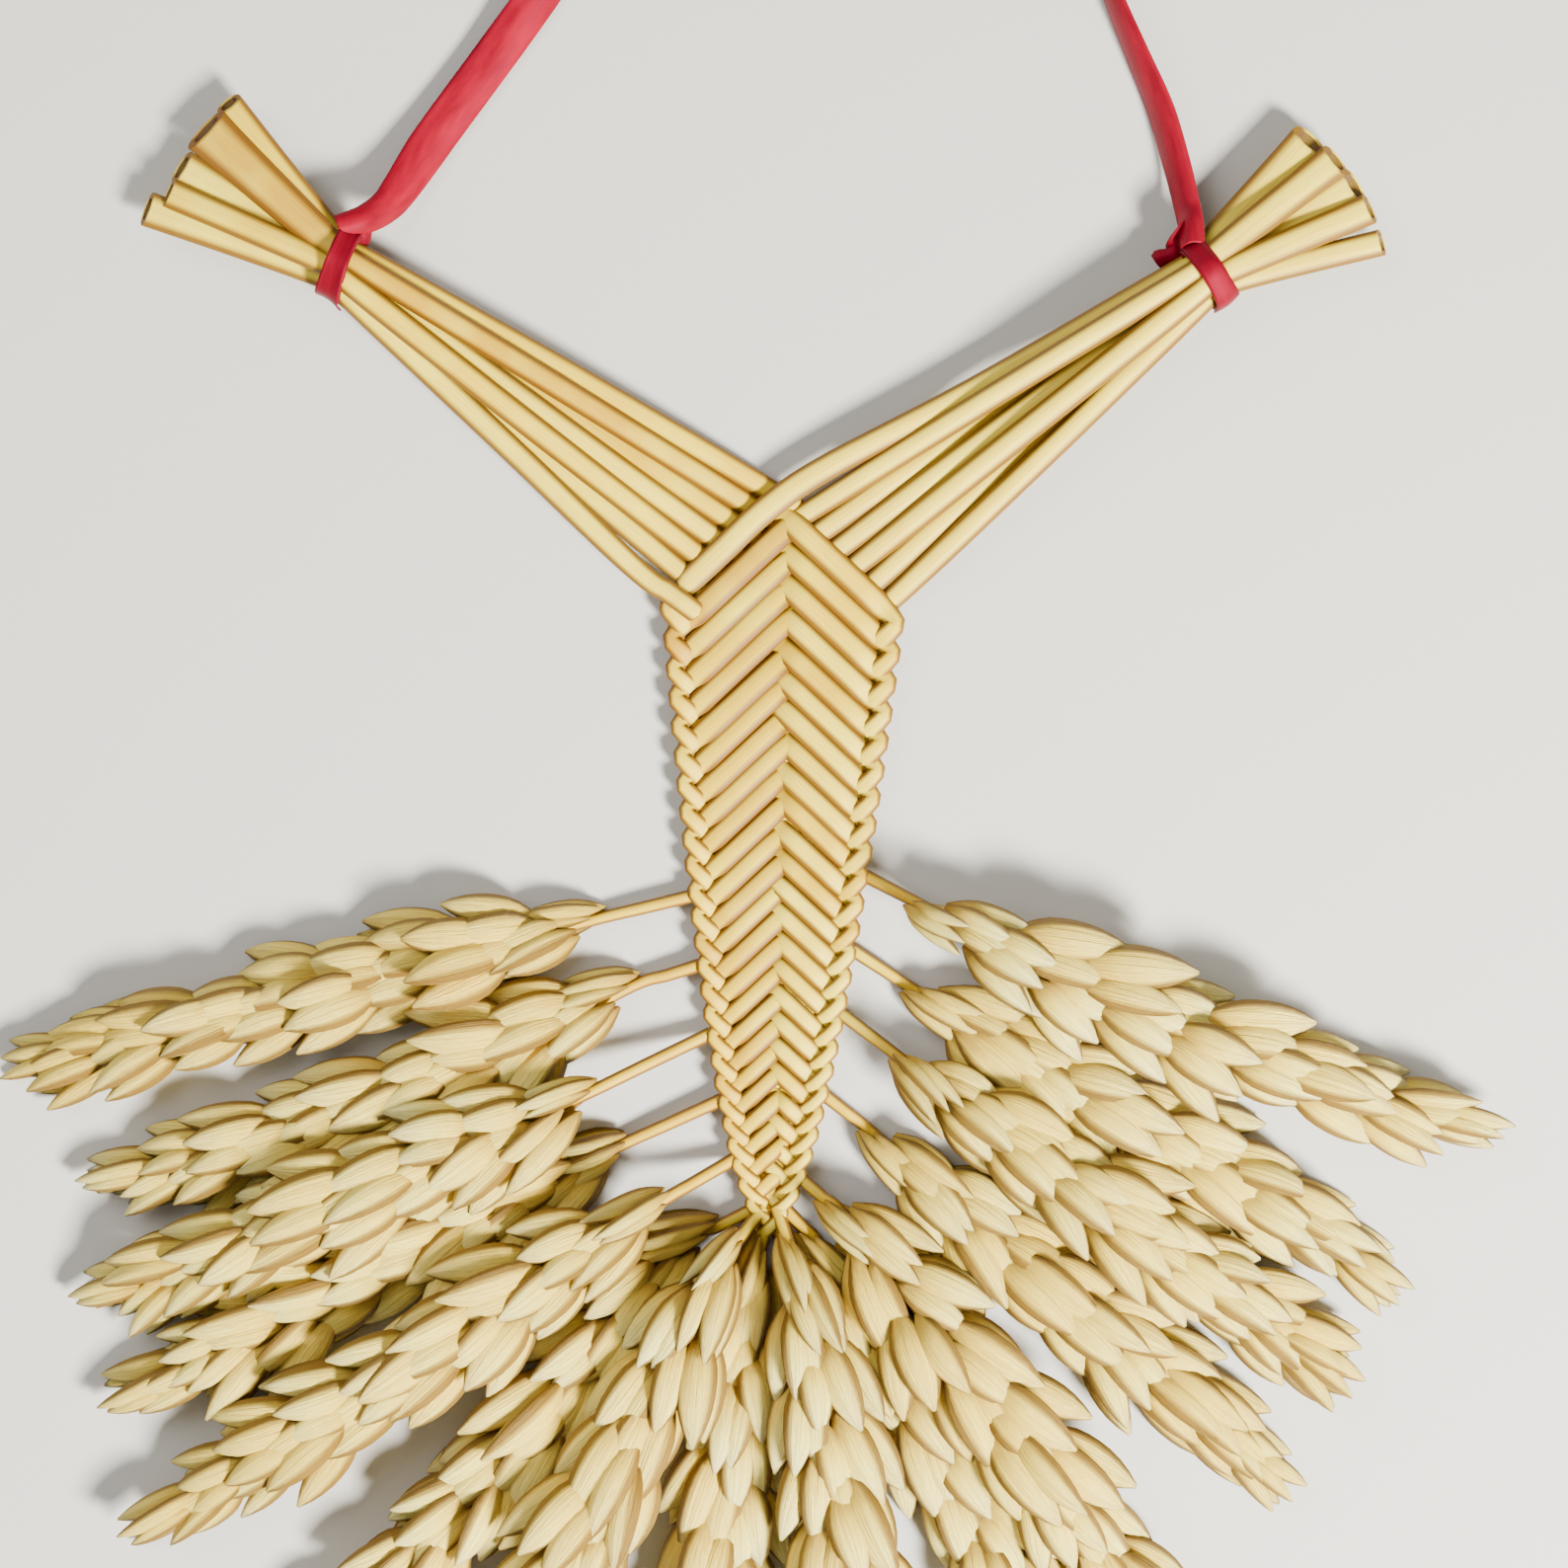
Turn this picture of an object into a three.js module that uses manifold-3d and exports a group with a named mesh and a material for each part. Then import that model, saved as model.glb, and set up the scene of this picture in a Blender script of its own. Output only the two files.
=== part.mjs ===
// A woven wheat-straw ornament that lies flat: fifteen ears fanned round the foot of a tapering plait,
// and the straws' cut ends gathered in two arms, each tied by the same red satin ribbon, which hangs it.
// Millimetres, X to the right, Y up along the ornament, Z up from the surface that it lies on.
// The origin is on that surface, in the middle of the straw work.

import * as THREE from 'three';
import { mergeVertices } from 'three/addons/utils/BufferGeometryUtils.js';
import Module from 'manifold-3d';

const wasm = await Module();
wasm.setup();

// Driving dimensions
const touchGap = 0.3;             // left between pieces that press on each other

const plait = {
  footX: 3.2,                     // middle of the plait's pointed foot
  footY: -34.8,
  length: 87.6,                   // along the edges, foot to shoulders
  lean: 2.0,                      // how far the shoulders stand to the right of the foot
  shoulderWidth: 35.4,
  footWidth: 3.4,
  widening: 0.58,                 // exponent: below 1 the plait widens fast above its foot
  legSlope: 0.93,                 // rise of a folded straw over its run to the middle
  folds: 25,                      // straws folded round each edge
  foldTaper: 0.25,                // folds are this much closer at the foot, wider at the shoulders
  thickness: 3.4,
  edgeThickness: 1.5,
  relief: 0.8,                    // depth of the groove between two straws
  foldBulge: 0.5,                 // how far each fold stands out of the edge
  middleOverlap: 0.15,            // share of the half width where left straws run over the middle
};

const straw = { diameter: 2.8, boreDiameter: 1.9, boreDepth: 5.0, sides: 6, perArm: 7 };

const bundlePitch = 3.0;          // straw to straw inside a tie
const arms = [
  { side: 'left', hand: -1, angle: 144, tieDistance: 66.4, endLength: 26.5, endSpread: 3.1 },
  { side: 'right', hand: 1, angle: 36.5, tieDistance: 62.5, endLength: 25.0, endSpread: 3.0 },
];

const ribbon = {
  width: 6.0, thickness: 0.5, bandWidth: 5.0, knotLength: 6.4, knotWidth: 4.6, knotHeight: 4.4,
};

const ear = {
  length: 88,
  halfWidth: 8.0,
  halfHeight: 4.2,
  rings: 18,                      // two for each pair of spikelets
  sides: 8,
  notch: 0.74,                    // width between two spikelets, over the width at one
  neckRadius: 0.8,
  tipRadius: 0.4,
  ridingHeight: 5.6,              // how high an ear that rests on its neighbours is carried
};

// Ears from the left shoulder round the foot to the right shoulder. leaves: height where the neck comes out
// of the plait's edge, or at the foot, the distance from its middle. neck: its direction and length.
// angle: the ear's direction, size: its share of the full length. bow: how far its middle hangs out of the
// straight line. rides: it rests on the ears beside it.
const ears = [
  { name: 'ear_left_1', edge: -1, leaves: 10.8, neck: [-164, 12.5], angle: -165, size: 0.98 },
  { name: 'ear_left_2', edge: -1, leaves: 1.0, neck: [-158, 8.0], angle: -160, size: 0.92, bow: 3.3 },
  { name: 'ear_left_3', edge: -1, leaves: -8.8, neck: [-152, 18.0], angle: -156.5, size: 0.86, rides: true },
  { name: 'ear_left_4', edge: -1, leaves: -18.2, neck: [-152, 15.0], angle: -153, size: 0.88 },
  { name: 'ear_left_5', edge: -1, leaves: -26.6, neck: [-146, 10.5], angle: -147, size: 0.99, rides: true },
  { name: 'ear_foot_1', edge: 0, leaves: -2.2, neck: [-164, 10.5], angle: -132, size: 0.98, bow: 1.5 },
  { name: 'ear_foot_2', edge: 0, leaves: -1.0, neck: [-142, 7.5], angle: -116, size: 0.95, rides: true },
  { name: 'ear_foot_3', edge: 0, leaves: 0.0, neck: [-106, 6.0], angle: -97, size: 0.94 },
  { name: 'ear_foot_4', edge: 0, leaves: 1.0, neck: [-63, 6.0], angle: -80, size: 0.95, rides: true },
  { name: 'ear_foot_5', edge: 0, leaves: 2.2, neck: [-32, 6.0], angle: -59.5, size: 0.97 },
  { name: 'ear_right_5', edge: 1, leaves: -29.4, neck: [-50, 6.0], angle: -52, size: 0.97, rides: true },
  { name: 'ear_right_4', edge: 1, leaves: -17.5, neck: [-50, 6.5], angle: -40.5, size: 0.88 },
  { name: 'ear_right_3', edge: 1, leaves: -5.9, neck: [-44, 9.5], angle: -36.5, size: 0.87, rides: true },
  { name: 'ear_right_2', edge: 1, leaves: 3.1, neck: [-41, 8.5], angle: -31, size: 0.91 },
  {
    name: 'ear_right_1', edge: 1, leaves: 13.7, neck: [-36, 6.5], angle: -21.5, size: 0.99, bow: -2.9,
    rides: true,
  },
];

// The hanging loop's route from the left knot, off the top, and back to the right knot.
const loopRoute = [
  [-51.8, 107.7, 2.4], [-49.4, 111.2, 1.7], [-44.7, 118.3, 0.6], [-36.6, 129.5, 0.5], [-30.3, 137.9, 0.5],
  [-21.9, 149.1, 0.5], [-12.8, 161.7, 0.5], [-3.0, 174.6, 0.5], [4.7, 183.4, 0.5], [13.1, 189.0, 0.5],
  [22.2, 189.4, 0.5], [30.6, 184.8, 0.5], [36.9, 176.4, 0.5], [41.8, 165.9, 0.5], [46.0, 154.7, 0.5],
  [49.5, 144.9, 0.5], [51.9, 137.9, 0.5], [55.5, 129.5, 0.5], [58.5, 122.4, 0.5], [60.8, 114.5, 0.9],
  [62.0, 107.6, 2.4],
];

const strawColour = 0xd9b36a;
const earColour = 0xdcc394;
const ribbonColour = 0xc4182a;

const upward = new THREE.Vector3(0, 0, 1);

// A closed skin over rings of equal count, the first and last ring capped.
function skin(rings) {
  const count = rings[0].length;
  const points = rings.flat();
  const faces = [];
  for (let ring = 0; ring < rings.length - 1; ring += 1) {
    for (let side = 0; side < count; side += 1) {
      const next = (side + 1) % count;
      const near = ring * count;
      const far = near + count;
      faces.push(near + side, near + next, far + next);
      faces.push(near + side, far + next, far + side);
    }
  }
  const last = (rings.length - 1) * count;
  for (let side = 1; side < count - 1; side += 1) {
    faces.push(0, side + 1, side);
    faces.push(last, last + side, last + side + 1);
  }
  return closedGeometry(points, faces);
}

function closedGeometry(points, faces) {
  const geometry = new THREE.BufferGeometry();
  const numbers = points.flatMap((p) => p.toArray());
  geometry.setAttribute('position', new THREE.Float32BufferAttribute(numbers, 3));
  geometry.setIndex(faces);
  geometry.computeVertexNormals();
  return geometry;
}

// Directions across a run: to its left in the plane, and away from the table.
function crossDirections(along) {
  const across = new THREE.Vector3(-along.y, along.x, 0).normalize();
  const away = new THREE.Vector3().crossVectors(along, across);
  return { across, away };
}

// One ring round a centre, radius(angle) giving its half width and half height.
function ringAround(centre, along, sides, halfWidth, halfHeight) {
  const { across, away } = crossDirections(along);
  const ring = [];
  for (let side = 0; side < sides; side += 1) {
    const angle = 2 * Math.PI * (side + 0.5) / sides;
    ring.push(centre.clone()
      .addScaledVector(across, halfWidth(angle) * Math.cos(angle))
      .addScaledVector(away, halfHeight(angle) * Math.sin(angle)));
  }
  return ring;
}

function directionsAlong(centres) {
  return centres.map((centre, index) => {
    const before = centres[Math.max(index - 1, 0)];
    const after = centres[Math.min(index + 1, centres.length - 1)];
    return new THREE.Vector3().subVectors(after, before).normalize();
  });
}

function smoothStep(from, to, value) {
  return THREE.MathUtils.smoothstep(value, from, to);
}

// Plait: outline by the height of its edge.
function plaitHalfWidth(edgeY) {
  const share = THREE.MathUtils.clamp((edgeY - plait.footY) / plait.length, 0, 1);
  return (plait.footWidth + (plait.shoulderWidth - plait.footWidth) * share ** plait.widening) / 2;
}

function plaitMiddle(edgeY) {
  return plait.footX + plait.lean * (edgeY - plait.footY) / plait.length;
}

// A point of the plait by the height of its edge and its share of the half width, -1 left to 1 right.
function plaitPoint(edgeY, share, bulge) {
  const half = plaitHalfWidth(edgeY);
  return {
    x: plaitMiddle(edgeY) + share * half + Math.sign(share) * bulge,
    y: edgeY + (1 - Math.abs(share)) * half * plait.legSlope,
  };
}

function makePlait() {
  const rowsPerFold = 4;
  const rows = plait.folds * rowsPerFold;
  const crown = [0, 0.87, 1, 0.87];             // a round straw's height across itself
  const flatCrown = [0, 1, 1, 1];               // pressed flat where it lies on the table
  const edgeShare = 0.82;
  const columns = [
    { share: -1, shift: 0, edge: true }, { share: -edgeShare, shift: 0 }, { share: 0, shift: 0 },
    { share: plait.middleOverlap, shift: 2 },
    { share: edgeShare, shift: 2 },
    { share: 1, shift: 2, edge: true },
  ];
  const top = [];
  const bottom = [];
  for (let row = 0; row <= rows; row += 1) {
    const share = row / rows;
    const drop = share * (1 + plait.foldTaper - plait.foldTaper * share);
    const edgeY = plait.footY + plait.length * (1 - drop);
    for (const column of columns) {
      const phase = (row + column.shift) % rowsPerFold;
      const height = crown[phase];
      const bulge = column.edge ? plait.foldBulge * height : 0;
      const { x, y } = plaitPoint(edgeY, column.share, bulge);
      const middle = plait.thickness / 2;
      const edgeHalf = (plait.edgeThickness - plait.foldBulge * (1 - height)) / 2;
      const topZ = column.edge ? middle + edgeHalf : plait.thickness - plait.relief * (1 - height);
      const bottomZ = column.edge ? middle - edgeHalf : plait.relief * (1 - flatCrown[phase]);
      top.push(new THREE.Vector3(x, y, topZ));
      bottom.push(new THREE.Vector3(x, y, bottomZ));
    }
  }
  const width = columns.length;
  const under = top.length;
  const faces = [];
  for (let row = 0; row < rows; row += 1) {
    for (let column = 0; column < width - 1; column += 1) {
      const a = row * width + column;
      const b = a + 1;
      const c = a + width;
      const d = c + 1;
      faces.push(a, c, d, a, d, b);
      faces.push(under + a, under + d, under + c, under + a, under + b, under + d);
    }
  }
  const rim = [];
  for (let column = 0; column < width; column += 1) rim.push(column);
  for (let row = 1; row <= rows; row += 1) rim.push(row * width + width - 1);
  for (let column = width - 2; column >= 0; column -= 1) rim.push(rows * width + column);
  for (let row = rows - 1; row > 0; row -= 1) rim.push(row * width);
  for (let index = 0; index < rim.length; index += 1) {
    const here = rim[index];
    const next = rim[(index + 1) % rim.length];
    faces.push(here, next, under + next, here, under + next, under + here);
  }
  return closedGeometry([...top, ...bottom], faces);
}

// Seven straws pack round their middle one inside a tie: place across the bundle and above its middle.
function bundlePlaces() {
  const rise = bundlePitch * Math.sqrt(3) / 2;
  const half = bundlePitch / 2;
  return [
    [-bundlePitch, 0], [-half, rise], [-half, -rise], [0, 0], [half, rise], [half, -rise], [bundlePitch, 0],
  ];
}

const bandInner = bundlePitch + straw.diameter / 2 + touchGap;
const bandOuter = bandInner + ribbon.thickness;
const bundleHeight = bandOuter * Math.cos(Math.PI / 16);

const shoulderY = plait.footY + plait.length;

function armFrame(arm) {
  const angle = THREE.MathUtils.degToRad(arm.angle);
  const along = new THREE.Vector3(Math.cos(angle), Math.sin(angle), 0);
  const outward = new THREE.Vector3(-along.y, along.x, 0).multiplyScalar(-arm.hand);
  const shoulder = plaitPoint(shoulderY, arm.hand / 2, 0);
  const tie = new THREE.Vector3(shoulder.x, shoulder.y, bundleHeight).addScaledVector(along, arm.tieDistance);
  return { along, outward, tie };
}

// One arm straw: from the plait's shoulder, through the tie, to its hollow cut end.
function makeArmStraw(arm, index) {
  const { along, outward, tie } = armFrame(arm);
  const share = arm.hand * (index + 0.5) / straw.perArm;
  const shoulder = plaitPoint(shoulderY, share, 0);
  const start = new THREE.Vector3(shoulder.x, shoulder.y, plait.thickness / 2 + 0.1);
  start.addScaledVector(along, touchGap + straw.diameter / 5);
  const [across, above] = bundlePlaces()[index];
  const inTie = tie.clone().addScaledVector(outward, across);
  inTie.z += above;
  const halfBand = ribbon.bandWidth / 2 + 1;
  const entering = inTie.clone().addScaledVector(along, -halfBand);
  const leaving = inTie.clone().addScaledVector(along, halfBand);
  const trim = 1 - 0.06 * ((index * 3) % 4);
  const end = inTie.clone().addScaledVector(along, arm.endLength * trim)
    .addScaledVector(outward, (index - 3) * arm.endSpread - across);
  end.z += above * 0.35;
  const centres = [start];
  for (const part of [1 / 3, 2 / 3]) {
    const centre = start.clone().lerp(entering, part);
    centre.z = THREE.MathUtils.lerp(start.z, entering.z, Math.sin(part * Math.PI / 2));
    centres.push(centre);
  }
  centres.push(entering, leaving, end);
  const directions = directionsAlong(centres);
  const radius = straw.diameter / 2;
  const bore = straw.boreDiameter / 2;
  const rings = centres.map((centre, place) => (
    ringAround(centre, directions[place], straw.sides, () => radius, () => radius)));
  const last = directions[directions.length - 1];
  rings.push(ringAround(end, last, straw.sides, () => bore, () => bore));
  const boreFoot = end.clone().addScaledVector(last, -straw.boreDepth);
  rings.push(ringAround(boreFoot, last, straw.sides, () => bore, () => bore));
  return skin(rings);
}

function earFullness(share) {
  return Math.sin(Math.PI * (0.05 + 0.93 * share)) ** 0.6;
}

function flatVector(angle, length) {
  const turned = THREE.MathUtils.degToRad(angle);
  return new THREE.Vector2(length * Math.cos(turned), length * Math.sin(turned));
}

// Where a neck comes out of the plait: at an edge, or in two layers at the foot.
function neckStart(shape) {
  const gapToEdge = touchGap + ear.neckRadius;
  const middle = plait.thickness / 2;
  if (shape.edge === 0) {
    const layer = shape.rides ? 1.2 : -0.8;
    return new THREE.Vector3(plait.footX + shape.leaves, plait.footY - gapToEdge, middle + layer);
  }
  const reach = plaitHalfWidth(shape.leaves) + plait.foldBulge + gapToEdge;
  return new THREE.Vector3(plaitMiddle(shape.leaves) + shape.edge * reach, shape.leaves, middle);
}

// One ear on its neck: two alternating rows of spikelets along a gently bowed line.
function makeEar(shape) {
  const start = neckStart(shape);
  const [neckAngle, neckLength] = shape.neck;
  const base = new THREE.Vector2(start.x, start.y).add(flatVector(neckAngle, neckLength));
  const run = flatVector(shape.angle, shape.size * ear.length);
  const hang = new THREE.Vector2(-run.y, run.x).normalize();
  const centres = [];
  const halves = [];
  const lift = shape.rides ? ear.ridingHeight : 0;
  const earCentre = (share) => {
    const flat = base.clone().addScaledVector(run, share)
      .addScaledVector(hang, 4 * (shape.bow ?? 0) * share * (1 - share));
    const carried = lift * (1 - 0.8 * smoothStep(0.45, 1, share));
    return new THREE.Vector3(flat.x, flat.y, carried + ear.halfHeight * earFullness(share));
  };
  const first = earCentre(0);
  for (const part of [0, 0.55]) {
    centres.push(start.clone().lerp(first, part));
    halves.push(null);
  }
  for (let ring = 0; ring < ear.rings; ring += 1) {
    const share = ring / (ear.rings - 1);
    centres.push(earCentre(share));
    halves.push({ share, turn: ring % 2 });
  }
  const directions = directionsAlong(centres);
  const rings = centres.map((centre, place) => {
    const half = halves[place];
    if (half === null) {
      return ringAround(centre, directions[place], ear.sides, () => ear.neckRadius, () => ear.neckRadius);
    }
    const isTip = half.share === 1;
    const fullness = earFullness(half.share);
    const width = isTip ? ear.tipRadius : ear.halfWidth * fullness;
    const height = isTip ? ear.tipRadius : ear.halfHeight * fullness;
    const notched = (angle) => {
      const onLeft = Math.cos(angle) > 0;
      return onLeft === (half.turn === 0) ? ear.notch : 1;
    };
    const shallow = (angle) => (1 + notched(angle)) / 2;
    const across = (a) => width * notched(a);
    const above = (a) => height * shallow(a);
    return ringAround(centre, directions[place], ear.sides, across, above);
  });
  return skin(rings);
}

function toManifold(geometry) {
  const bare = geometry.index ? geometry.clone() : geometry;
  bare.deleteAttribute('normal');
  bare.deleteAttribute('uv');
  const merged = mergeVertices(bare, 1e-4);
  return new wasm.Manifold(new wasm.Mesh({
    numProp: 3,
    vertProperties: new Float32Array(merged.attributes.position.array),
    triVerts: new Uint32Array(merged.index.array),
  }));
}

function fromManifold(solid) {
  const { vertProperties, triVerts } = solid.getMesh();
  const geometry = new THREE.BufferGeometry();
  geometry.setAttribute('position', new THREE.BufferAttribute(new Float32Array(vertProperties), 3));
  geometry.setIndex(new THREE.BufferAttribute(new Uint32Array(triVerts), 1));
  geometry.computeVertexNormals();
  return geometry;
}

// One ribbon tie: a band round the seven straws, and the knot at its upper side.
function makeTie(arm) {
  const { along, outward, tie } = armFrame(arm);
  const ringSides = 16;
  const outline = new THREE.Shape();
  const hole = new THREE.Path();
  for (let side = 0; side < ringSides; side += 1) {
    const angle = 2 * Math.PI * (side + 0.5) / ringSides;
    const draw = side === 0 ? 'moveTo' : 'lineTo';
    outline[draw](bandOuter * Math.cos(angle), bandOuter * Math.sin(angle));
    hole[draw](bandInner * Math.cos(-angle), bandInner * Math.sin(-angle));
  }
  outline.closePath();
  hole.closePath();
  outline.holes.push(hole);
  const settings = { depth: ribbon.bandWidth, bevelEnabled: false, curveSegments: 1 };
  const band = new THREE.ExtrudeGeometry(outline, settings);
  band.translate(0, 0, -ribbon.bandWidth / 2);
  const sideways = new THREE.Vector3().crossVectors(upward, along);
  band.applyMatrix4(new THREE.Matrix4().makeBasis(sideways, upward, along).setPosition(tie));
  const knot = new THREE.IcosahedronGeometry(1, 1);
  knot.scale(ribbon.knotLength / 2, ribbon.knotWidth / 2, ribbon.knotHeight / 2);
  knot.rotateZ(THREE.MathUtils.degToRad(arm.angle));
  const knotCentre = tie.clone().addScaledVector(outward, -(bandOuter + ribbon.knotWidth * 0.3));
  knot.translate(knotCentre.x, knotCentre.y, knotCentre.z + 0.4);
  return fromManifold(toManifold(band).add(toManifold(knot)));
}

function makeLoop() {
  const points = loopRoute.map((place) => new THREE.Vector3(...place));
  const halfWide = ribbon.width / 2;
  const halfThick = ribbon.thickness / 2;
  const shoulder = halfWide - halfThick;
  const section = new THREE.Shape([
    new THREE.Vector2(-halfThick, -shoulder), new THREE.Vector2(-halfThick / 2, -halfWide),
    new THREE.Vector2(halfThick / 2, -halfWide), new THREE.Vector2(halfThick, -shoulder),
    new THREE.Vector2(halfThick, shoulder), new THREE.Vector2(halfThick / 2, halfWide),
    new THREE.Vector2(-halfThick / 2, halfWide), new THREE.Vector2(-halfThick, shoulder),
  ]);
  const steps = 30;
  const extrudePath = new THREE.CatmullRomCurve3(points);
  return new THREE.ExtrudeGeometry(section, { steps, extrudePath, bevelEnabled: false });
}

const strawMaterial = new THREE.MeshStandardMaterial({ color: strawColour, roughness: 0.45, metalness: 0 });
const earMaterial = new THREE.MeshStandardMaterial({ color: earColour, roughness: 0.7, metalness: 0 });
const ribbonMaterial = new THREE.MeshStandardMaterial({ color: ribbonColour, roughness: 0.35, metalness: 0 });

const ornament = new THREE.Group();

function place(name, geometry, material) {
  const mesh = new THREE.Mesh(geometry, material);
  mesh.name = name;
  ornament.add(mesh);
}

place('plait', makePlait(), strawMaterial);
for (const arm of arms) {
  for (let index = 0; index < straw.perArm; index += 1) {
    place(`straw_${arm.side}_${index + 1}`, makeArmStraw(arm, index), strawMaterial);
  }
  place(`ribbon_tie_${arm.side}`, makeTie(arm), ribbonMaterial);
}
for (const shape of ears) place(shape.name, makeEar(shape), earMaterial);
place('ribbon_loop', makeLoop(), ribbonMaterial);

export default ornament;
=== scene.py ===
import math
import random

import bpy
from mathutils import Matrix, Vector


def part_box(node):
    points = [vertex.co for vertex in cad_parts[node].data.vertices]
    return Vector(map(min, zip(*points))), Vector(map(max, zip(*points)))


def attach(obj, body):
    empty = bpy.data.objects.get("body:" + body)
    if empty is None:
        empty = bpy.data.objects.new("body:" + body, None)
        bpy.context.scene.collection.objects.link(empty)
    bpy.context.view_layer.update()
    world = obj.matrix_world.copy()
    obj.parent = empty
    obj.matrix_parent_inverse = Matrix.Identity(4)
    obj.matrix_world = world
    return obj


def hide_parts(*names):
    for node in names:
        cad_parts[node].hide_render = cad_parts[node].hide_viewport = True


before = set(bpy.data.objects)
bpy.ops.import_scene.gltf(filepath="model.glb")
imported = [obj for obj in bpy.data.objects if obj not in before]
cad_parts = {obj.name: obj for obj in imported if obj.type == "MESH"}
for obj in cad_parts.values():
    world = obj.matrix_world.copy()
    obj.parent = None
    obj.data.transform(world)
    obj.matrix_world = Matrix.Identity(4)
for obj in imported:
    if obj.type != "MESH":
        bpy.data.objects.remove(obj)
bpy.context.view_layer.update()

# Camera
# The ornament lies on its back and is seen from straight above, framed as in the photograph, which cuts off
# the tips of the lowest ears and the middle of the hanging loop.
photo_pixels = 1588
metres_per_pixel = 0.00014
origin_pixel_x = 756.5
origin_pixel_y = 985.0
view_lens = 85.0
view_sensor = 36.0
view_side = photo_pixels * metres_per_pixel
straw_work_height = 0.004


def at_pixel(pixel_x, pixel_y, height=0.0):
    x = (pixel_x - origin_pixel_x) * metres_per_pixel
    y = (origin_pixel_y - pixel_y) * metres_per_pixel
    return Vector((x, y, height))


camera_data = bpy.data.cameras.new("photo_view")
camera_data.lens = view_lens
camera_data.sensor_width = view_sensor
camera_data.sensor_fit = "HORIZONTAL"
camera_data.clip_start = 0.01
camera = bpy.data.objects.new("photo_view", camera_data)
bpy.context.collection.objects.link(camera)
camera.location = at_pixel(photo_pixels / 2, photo_pixels / 2)
camera.location.z = straw_work_height + view_side * view_lens / view_sensor
bpy.context.scene.camera = camera


# Hanging ribbon
# One length of red satin ribbon, 6 mm wide and 0.3 mm thick with firm woven edges. It leaves the knot on
# the left arm, turns on its edge over the top, where a nail would hold it, and ends at the right arm's
# knot.
ribbon_width = 0.006
ribbon_thickness = 0.0003
ribbon_cup = 0.0007
ribbon_steps = 220
gathered_share = 0.16
# Route and turn of the ribbon: x, y, z in metres, and how far it is turned on its edge, in degrees.
loop_route = [
    (-0.0575, 0.1050, 0.0086, 8), (-0.0539, 0.1062, 0.0076, 14), (-0.0511, 0.1084, 0.0050, 26),
    (-0.0490, 0.1114, 0.0034, 26), (-0.0447, 0.1183, 0.0020, 18),
    (-0.0366, 0.1295, 0.0016, 14), (-0.0303, 0.1379, 0.0020, 24), (-0.0219, 0.1491, 0.0026, 50),
    (-0.0128, 0.1617, 0.0031, 74), (-0.0030, 0.1746, 0.0032, 84), (0.0047, 0.1834, 0.0032, 88),
    (0.0131, 0.1890, 0.0032, 90), (0.0222, 0.1894, 0.0032, 90), (0.0306, 0.1848, 0.0032, 90),
    (0.0369, 0.1764, 0.0032, 90), (0.0418, 0.1659, 0.0032, 86), (0.0460, 0.1547, 0.0032, 82),
    (0.0495, 0.1449, 0.0032, 76), (0.0519, 0.1379, 0.0031, 72), (0.0555, 0.1295, 0.0029, 66),
    (0.0585, 0.1224, 0.0029, 60), (0.0608, 0.1145, 0.0032, 54), (0.0620, 0.1088, 0.0046, 48),
    (0.0624, 0.1058, 0.0068, 36), (0.0626, 0.1026, 0.0085, 14),
]


def smooth_line(points, steps):
    """Points along a smooth line through the given tuples, evenly many in each stretch."""
    line = []
    stretches = len(points) - 1
    for step in range(steps + 1):
        along = step / steps * stretches
        first = min(int(along), stretches - 1)
        t = along - first
        before = points[max(first - 1, 0)]
        start = points[first]
        end = points[first + 1]
        after = points[min(first + 2, stretches)]
        line.append(tuple(
            0.5 * (2 * b + (c - a) * t + (2 * a - 5 * b + 4 * c - d) * t ** 2
                   + (3 * b - a - 3 * c + d) * t ** 3)
            for a, b, c, d in zip(before, start, end, after)))
    return line


def directions_along(line):
    """The direction of the line at each of its points."""
    found = []
    for index in range(len(line)):
        before = line[max(index - 1, 0)]
        after = line[min(index + 1, len(line) - 1)]
        found.append((after - before).normalized())
    return found


def mesh_piece(name, corners, faces, edges=()):
    mesh = bpy.data.meshes.new(name)
    mesh.from_pydata([tuple(corner) for corner in corners], edges, faces)
    mesh.update()
    for face in mesh.polygons:
        face.use_smooth = True
    piece = bpy.data.objects.new(name, mesh)
    bpy.context.collection.objects.link(piece)
    return piece


def store_numbers(mesh, name, values):
    kind = "FLOAT_VECTOR" if isinstance(values[0], Vector) else "FLOAT"
    layer = mesh.attributes.new(name, kind, "POINT")
    if kind == "FLOAT":
        layer.data.foreach_set("value", values)
    else:
        layer.data.foreach_set("vector", [number for value in values for number in value])


def ring_faces(rings, sides, closed=False):
    """Faces between rings of equal count, with both ends capped unless the rings run round in a circle."""
    faces = []
    last = rings if closed else rings - 1
    for ring in range(last):
        near = ring * sides
        far = (ring + 1) % rings * sides
        for side in range(sides):
            beside = (side + 1) % sides
            faces.append((near + side, near + beside, far + beside, far + side))
    if not closed:
        faces.append(tuple(reversed(range(sides))))
        faces.append(tuple(range((rings - 1) * sides, rings * sides)))
    return faces


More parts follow.
